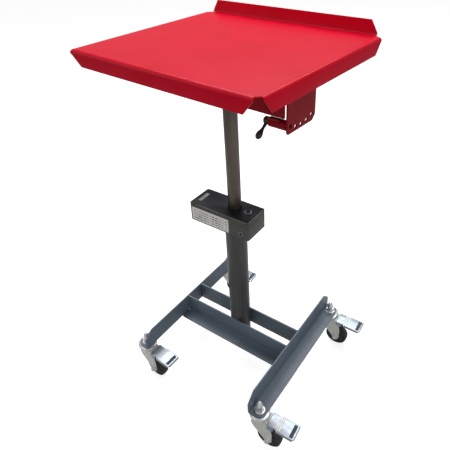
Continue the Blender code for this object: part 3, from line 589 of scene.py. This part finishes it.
def dress_cad_nodes(finishes):
    """Give every CAD node its finish, smooth its bends and round its sheared edges."""
    slots = {part["node"]: part["material_slot"] for part in frame["record"]["subparts"]}
    group = smooth_group()
    for name, node in frame["nodes"].items():
        kind = name.split("_")[0]
        finish = NODE_FINISHES.get(name, NODE_FINISHES.get(kind, slots[name]))
        node.data.materials.clear()
        node.data.materials.append(finishes[finish])
        smooth = node.modifiers.new("Smooth", "NODES")
        smooth.node_group = group
        width = SHEET_EDGES.get(name, SHEET_EDGES.get(kind))
        if width:
            round_edges(node, width)


# ---------------------------------------------------------------- welds, labels and small parts

def weld(name, paths, radius, material, body):
    """Weld beads along some paths, as one piece."""
    mesh_data = bmesh.new()
    for path in paths:
        add_bead(mesh_data, path, radius)
    finish_mesh(name, mesh_data, material, body, 60.0)


def build_base_welds(material):
    """Beads between the crossbars, the rails and the column."""
    low, top, round_top = 121.5, 186.0, 188.6
    paths = []
    for side in (-1, 1):
        for y in (-33.2, 33.2):
            paths.append([on_base(side * 206.6, y, low), on_base(side * 206.6, y, top)])
        for sign in (-1, 1):
            paths.append([on_base(side * 206.8, sign * y, low + 0.3) for y in (44.0, 78.0)])
            paths.append([on_base(side * 12.0, sign * 33.0, z) for z in (124.0, top)])
    for sign in (-1, 1):
        arc = [math.radians(90 * sign + degrees) for degrees in range(-24, 25, 6)]
        paths.append([on_base(34.6 * math.cos(a), 34.6 * math.sin(a), round_top) for a in arc])
    weld("base_weld_beads", paths, 0.0022, material, "base")


def build_head_welds(material):
    """Beads round the inner tube's top, and from the channel to the pin's sleeve."""
    ring = [math.tau * k / 24 for k in range(25)]
    around = [on_head(21.0 * math.cos(a), 21.0 * math.sin(a), 1049.5) for a in ring]
    sleeve = [on_head(x, -57.4, 986.4) for x in range(164, 204, 6)]
    weld("head_weld_beads", [around, sleeve], 0.0022, material, "mast")


def build_tray_welds(material):
    """Beads under the tray along the two hangers' flanges, and the closed front left corner."""
    hangers = [
        [on_head(247.6, -44.0, 1103.6), on_head(247.6, 48.0, 1103.6)],
        [on_head(-247.6, -38.0, 1103.6), on_head(-247.6, 38.0, 1103.6)],
    ]
    corner = []
    for k in range(5):
        turn = math.radians(22.5 * k)
        out = 5.6 * math.sin(turn)
        drop = 1.6 + 8.0 * (1 - math.cos(turn))
        corner.append(on_head(-328.0 - out, -218.0 - out, TRAY_TOP - drop))
    corner.append(on_head(-333.4, -223.4, 1097.0))
    weld("tray_weld_beads", hangers, 0.0018, material, "table")
    weld("tray_corner_weld", [corner], 0.0015, material, "table")


def label(name, size, corner, thickness, place, material):
    """One flat label on the housing."""
    mesh_data = bmesh.new()
    add_plate(mesh_data, rounded_rectangle(*size, corner), thickness, place)
    finish_mesh(name, mesh_data, material, "base")


def housing_front(x, z):
    """A place on the housing's front face, with w pointing out of it."""
    return Matrix.Translation(on_base(x, HOUSING_FRONT, z)) @ turned(math.pi / 2, "X")


def build_labels():
    """Plain ruled labels on the lock housing, with nothing to read."""
    border, paper, foil = (0.80, 0.79, 0.76), (0.82, 0.81, 0.78), (0.36, 0.37, 0.39)
    face = housing_front(-55.0, 602.5)
    top = Matrix.Translation(on_base(-112.0, -8.0, HOUSING_TOP))
    blank = printed_label("plain_label_border", border, border, 10.0)
    label("housing_label_border", (0.138, 0.046), 0.002, 0.0002, face, blank)
    ruled = printed_label("ruled_white_label", paper, (0.05, 0.048, 0.045), 36.0)
    label("housing_label_field", (0.126, 0.034), 0.001, 0.0003, face, ruled)
    silver = printed_label("ruled_foil_label", foil, (0.16, 0.16, 0.17), 60.0, "Y")
    label("housing_top_label", (0.012, 0.044), 0.001, 0.0003, top, silver)


def build_top_edge_highlight(material):
    """A pale bead round the top of the housing: a painted highlight along its rounded top edges."""
    low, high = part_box("lock_housing")
    inset, corner_cut, height = 0.0016, 0.006, high.z - 0.0007
    left, front = low.x + inset, low.y + inset
    right, back = high.x - inset, high.y - inset
    outline = ((left, front), (right, front), (right, back), (left, back))
    corners = [Vector((x, y, height)) for x, y in outline]
    loop = []
    for k in range(4):
        start, end = corners[k], corners[(k + 1) % 4]
        step = (end - start).normalized() * corner_cut
        loop += [start + step, end - step]
    edge_highlight_bead = bmesh.new()
    add_bead(edge_highlight_bead, loop + [loop[0]], 0.0012, spacing=0.02)
    finish_mesh("housing_top_edge_highlight", edge_highlight_bead, material, "base", 60.0)


def build_eyelets(material):
    """The eyelets of the housing's screw and its cross bolt."""
    eyelets = bmesh.new()
    screw_ring = [(0.0079, 0.0), (0.0079, 0.0006), (0.0105, 0.0006), (0.0112, 0.0)]
    add_lathe(eyelets, screw_ring, Matrix.Translation(on_base(50.0, -3.0, HOUSING_TOP)), 32)
    bolt_ring = [(0.0055, 0.0), (0.0055, 0.0006), (0.0068, 0.0006), (0.0073, 0.0)]
    add_lathe(eyelets, bolt_ring, housing_front(57.0, 591.0), 32)
    finish_mesh("housing_eyelets", eyelets, material, "base")


# ---------------------------------------------------------------- casters

def build_threads(tag, metal):
    """The thread that shows between the clamping nut and the dome nut."""
    stem = middle(f"stem_{tag}")
    place = moved(stem.x, stem.y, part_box(f"stem_nut_{tag}")[1].z)
    core, crest, pitch = 0.00602, 0.0072, 0.0013
    thread = bmesh.new()
    for turn in range(2):
        low = 0.0003 + pitch * turn
        add_lathe(thread, [(core, low), (crest, low + 0.0006), (core, low + 0.0012)], place, 32)
    finish_mesh(f"stud_thread_{tag}", thread, metal, "base")


def swivel_place(tag):
    """The caster's own frame: +X along the trail, the origin on the stem axis at the rail's underside."""
    stem, wheel = middle(f"stem_{tag}"), middle(f"wheel_{tag}")
    turn = math.atan2(wheel.y - stem.y, wheel.x - stem.x)
    return moved(stem.x, stem.y, DATUM + RAIL_UNDERSIDE / 1000) @ turned(turn, "Z")


def add_spokes(mesh_data, wheel):
    """Add the hub's spokes, on both of its faces."""
    outline = rounded_rectangle(0.0126, 0.0036, 0.0012, 2)
    for side in (-1, 1):
        outward = turned(math.pi if side < 0 else 0.0, "X")
        for k in range(SPOKES):
            spoke = wheel @ turned(math.tau * k / SPOKES, "Z") @ moved(SPOKE_MIDDLE, 0.0, side * WEB_FACE)
            add_plate(mesh_data, outline, 0.0044, spoke @ outward)


def build_tyre_and_hub(tag, place, rubber, plastic):
    """A grooved tyre round a spoked hub, in place of the plain CAD wheel."""
    wheel = Matrix.Translation(middle(f"wheel_{tag}")) @ place.to_3x3().to_4x4() @ turned(math.pi / 2, "X")
    tyre = bmesh.new()
    add_lathe(tyre, both_sides(TYRE_SECTION), wheel, 72)
    outer = finish_mesh(f"tyre_{tag}", tyre, rubber, f"roller_{tag}", 50.0)
    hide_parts(f"wheel_{tag}")
    hub = bmesh.new()
    add_lathe(hub, both_sides(HUB_SECTION), wheel, 72)
    add_spokes(hub, wheel)
    finish_mesh(f"wheel_hub_{tag}", hub, plastic, f"roller_{tag}", 40.0)


def build_pedal_ridges(tag, top, zinc):
    """The ridges pressed into the pedal and its rolled border."""
    detail = bmesh.new()
    for u, half in PEDAL_RIDGES:
        ridge = top @ moved(u, 0.0, 0.0)
        add_plate(detail, rounded_rectangle(0.0034, 2 * half, 0.0015, 3), 0.0009, ridge)
        add_plate(detail, rounded_rectangle(0.0018, 2 * half - 0.002, 0.0008, 3), 0.0016, ridge)
    border = [top @ Vector((u, v, -0.0004)) for u, v in PEDAL_BORDER]
    for start, end in zip(border, border[1:]):
        add_bead(detail, [start, end], 0.0015, spacing=0.02)
    finish_mesh(f"pedal_ridges_{tag}", detail, zinc, f"brake_{tag}", 60.0)


def build_pedal_tread(tag, top, rubber):
    """The dark ribbed pad at the pedal's tip."""
    pad = bmesh.new()
    add_plate(pad, rounded_rectangle(0.011, 0.042, 0.002), 0.0011, top @ moved(TREAD_MIDDLE, 0.0, 0.0))
    for rib in (-1, 0, 1):
        place = top @ moved(TREAD_MIDDLE + 0.0035 * rib, 0.0, 0.0010)
        add_plate(pad, rounded_rectangle(0.0016, 0.039, 0.0006, 2), 0.0008, place)
    finish_mesh(f"pedal_tread_{tag}", pad, rubber, f"brake_{tag}", 40.0)


def build_fork_detail(tag, place, zinc):
    """The ball race under the stem cap and the rivet heads on the fork's legs."""
    race = bmesh.new()
    add_lathe(race, RACE_SECTION, place, 48)
    finish_mesh(f"ball_race_{tag}", race, zinc, f"swivel_{tag}")
    rivets = bmesh.new()
    for side in (-1, 1):
        for x, z in RIVETS:
            head = place @ moved(x, side * FORK_FACE, z) @ turned(-side * math.pi / 2, "X")
            add_lathe(rivets, RIVET_SECTION, head, 20)
    finish_mesh(f"fork_rivets_{tag}", rivets, zinc, f"swivel_{tag}")


def build_casters(finishes):
    """The detail of all four casters."""
    hub = hub_plastic()
    tread = pedal_tread()
    for tag in CASTER_TAGS:
        place = swivel_place(tag)
        pedal_top = place @ Matrix.Translation(PEDAL_START) @ turned(PEDAL_SLOPE, "Y")
        build_threads(tag, finishes["bright_zinc"])
        build_tyre_and_hub(tag, place, finishes["black_rubber"], hub)
        build_pedal_ridges(tag, pedal_top, finishes["pressed_zinc"])
        build_pedal_tread(tag, pedal_top, tread)
        build_fork_detail(tag, place, finishes["bright_zinc"])


# ---------------------------------------------------------------- stage, lights and camera

def build_stage():
    """A wide pale floor."""
    mesh_data = bmesh.new()
    bmesh.ops.create_grid(mesh_data, x_segments=8, y_segments=8, size=FLOOR_SIZE)
    mesh = bpy.data.meshes.new("studio_floor")
    mesh_data.to_mesh(mesh)
    mesh_data.free()
    mesh.materials.append(studio_floor())
    floor = bpy.data.objects.new("studio_floor", mesh)
    floor.location = (0.0, 0.0, CAD_BOX[0][2] - 0.0002)
    bpy.context.scene.collection.objects.link(floor)


def area_light(name, location, target, size, power):
    """A soft white light that points at a target."""
    data = bpy.data.lights.new(name, "AREA")
    data.shape = "RECTANGLE"
    data.size, data.size_y = size
    data.energy = power
    light = bpy.data.objects.new(name, data)
    light.location = location
    light.rotation_euler = (Vector(target) - Vector(location)).to_track_quat("-Z", "Y").to_euler()
    bpy.context.scene.collection.objects.link(light)


def build_surround():
    """A pale surround that is brighter to the camera than the light it gives."""
    world = bpy.data.worlds.new("studio_world")
    world.use_nodes = True
    nodes, links = world.node_tree.nodes, world.node_tree.links
    background = nodes["Background"]
    background.inputs["Color"].default_value = WHITE
    level = nodes.new("ShaderNodeMapRange")
    level.inputs["To Min"].default_value = WORLD_LIGHT
    level.inputs["To Max"].default_value = BACKDROP_LIGHT
    links.new(nodes.new("ShaderNodeLightPath").outputs["Is Camera Ray"], level.inputs["Value"])
    links.new(level.outputs["Result"], background.inputs["Strength"])
    bpy.context.scene.world = world


def build_lights():
    """A broad overhead light and two gentle side lights."""
    area_light("overhead", (-0.6, 1.1, 3.3), (0.0, 0.2, 0.7), (3.0, 2.6), 105.0)
    area_light("left_front", (-2.6, -2.2, 2.2), (0.0, 0.0, 0.6), (1.6, 2.2), 15.0)
    area_light("right_front", (2.6, -1.2, 1.6), (0.0, 0.0, 0.5), (0.9, 2.2), 16.0)


def build_camera():
    """The photograph's camera."""
    data = bpy.data.cameras.new("camera")
    data.lens = CAMERA_LENS
    data.shift_x, data.shift_y = CAMERA_SHIFT
    data.clip_start = 0.05
    data.clip_end = 200.0
    camera = bpy.data.objects.new("camera", data)
    aim = turned(CAMERA_AZIMUTH, "Z") @ turned(math.pi / 2 - CAMERA_ELEVATION, "X")
    place = Vector((COLUMN.x, COLUMN.y, DATUM)) + CAMERA_FROM_COLUMN
    camera.matrix_world = Matrix.Translation(place) @ aim @ turned(CAMERA_ROLL, "Z")
    bpy.context.scene.collection.objects.link(camera)
    bpy.context.scene.camera = camera
    bpy.context.scene.view_settings.view_transform = "Standard"


def main():
    """Dress the CAD model, add its fine detail and light it."""
    finishes = {
        "red_powder_coat": red_powder_coat("gloss_red_powder_coat", *BRIGHT_REDS),
        # The second red is the same powder coat with painted shade, for the parts under the tray.
        "painted_shade_red": red_powder_coat("painted_shade_red_powder_coat", *PAINTED_SHADE_REDS),
        "grey_paint": frame_paint(),
        "tube_paint": tube_paint(),
        "black_paint": housing_paint(),
        "bare_steel": bare_steel(),
        "bright_zinc": bright_zinc(),
        "pressed_zinc": pressed_zinc(),
        "pedal_zinc": pedal_zinc(),
        "black_rubber": tyre_rubber(),
        "guide_plastic": guide_plastic(),
        "black_plastic": black_plastic(),
    }
    dress_cad_nodes(finishes)
    build_base_welds(painted_metal("painted_base_weld", (0.055, 0.068, 0.09), (0.085, 0.105, 0.14)))
    # The head's beads take a darker red: painted shade for their place under the tray.
    build_head_welds(painted_metal("painted_head_weld", (0.22, 0.006, 0.012), (0.28, 0.009, 0.016)))
    build_tray_welds(painted_metal("painted_tray_weld", (0.50, 0.010, 0.022), (0.60, 0.016, 0.030)))
    build_labels()
    # Pale grey for the eyelets, and for the bead that is a painted highlight on the housing's top edges.
    highlight_and_eyelet_grey = painted_metal("housing_highlight_and_eyelet_grey", (0.22, 0.23, 0.24), (0.32, 0.33, 0.34))
    build_top_edge_highlight(highlight_and_eyelet_grey)
    build_eyelets(highlight_and_eyelet_grey)
    build_casters(finishes)
    build_stage()
    build_surround()
    build_lights()
    build_camera()


main()
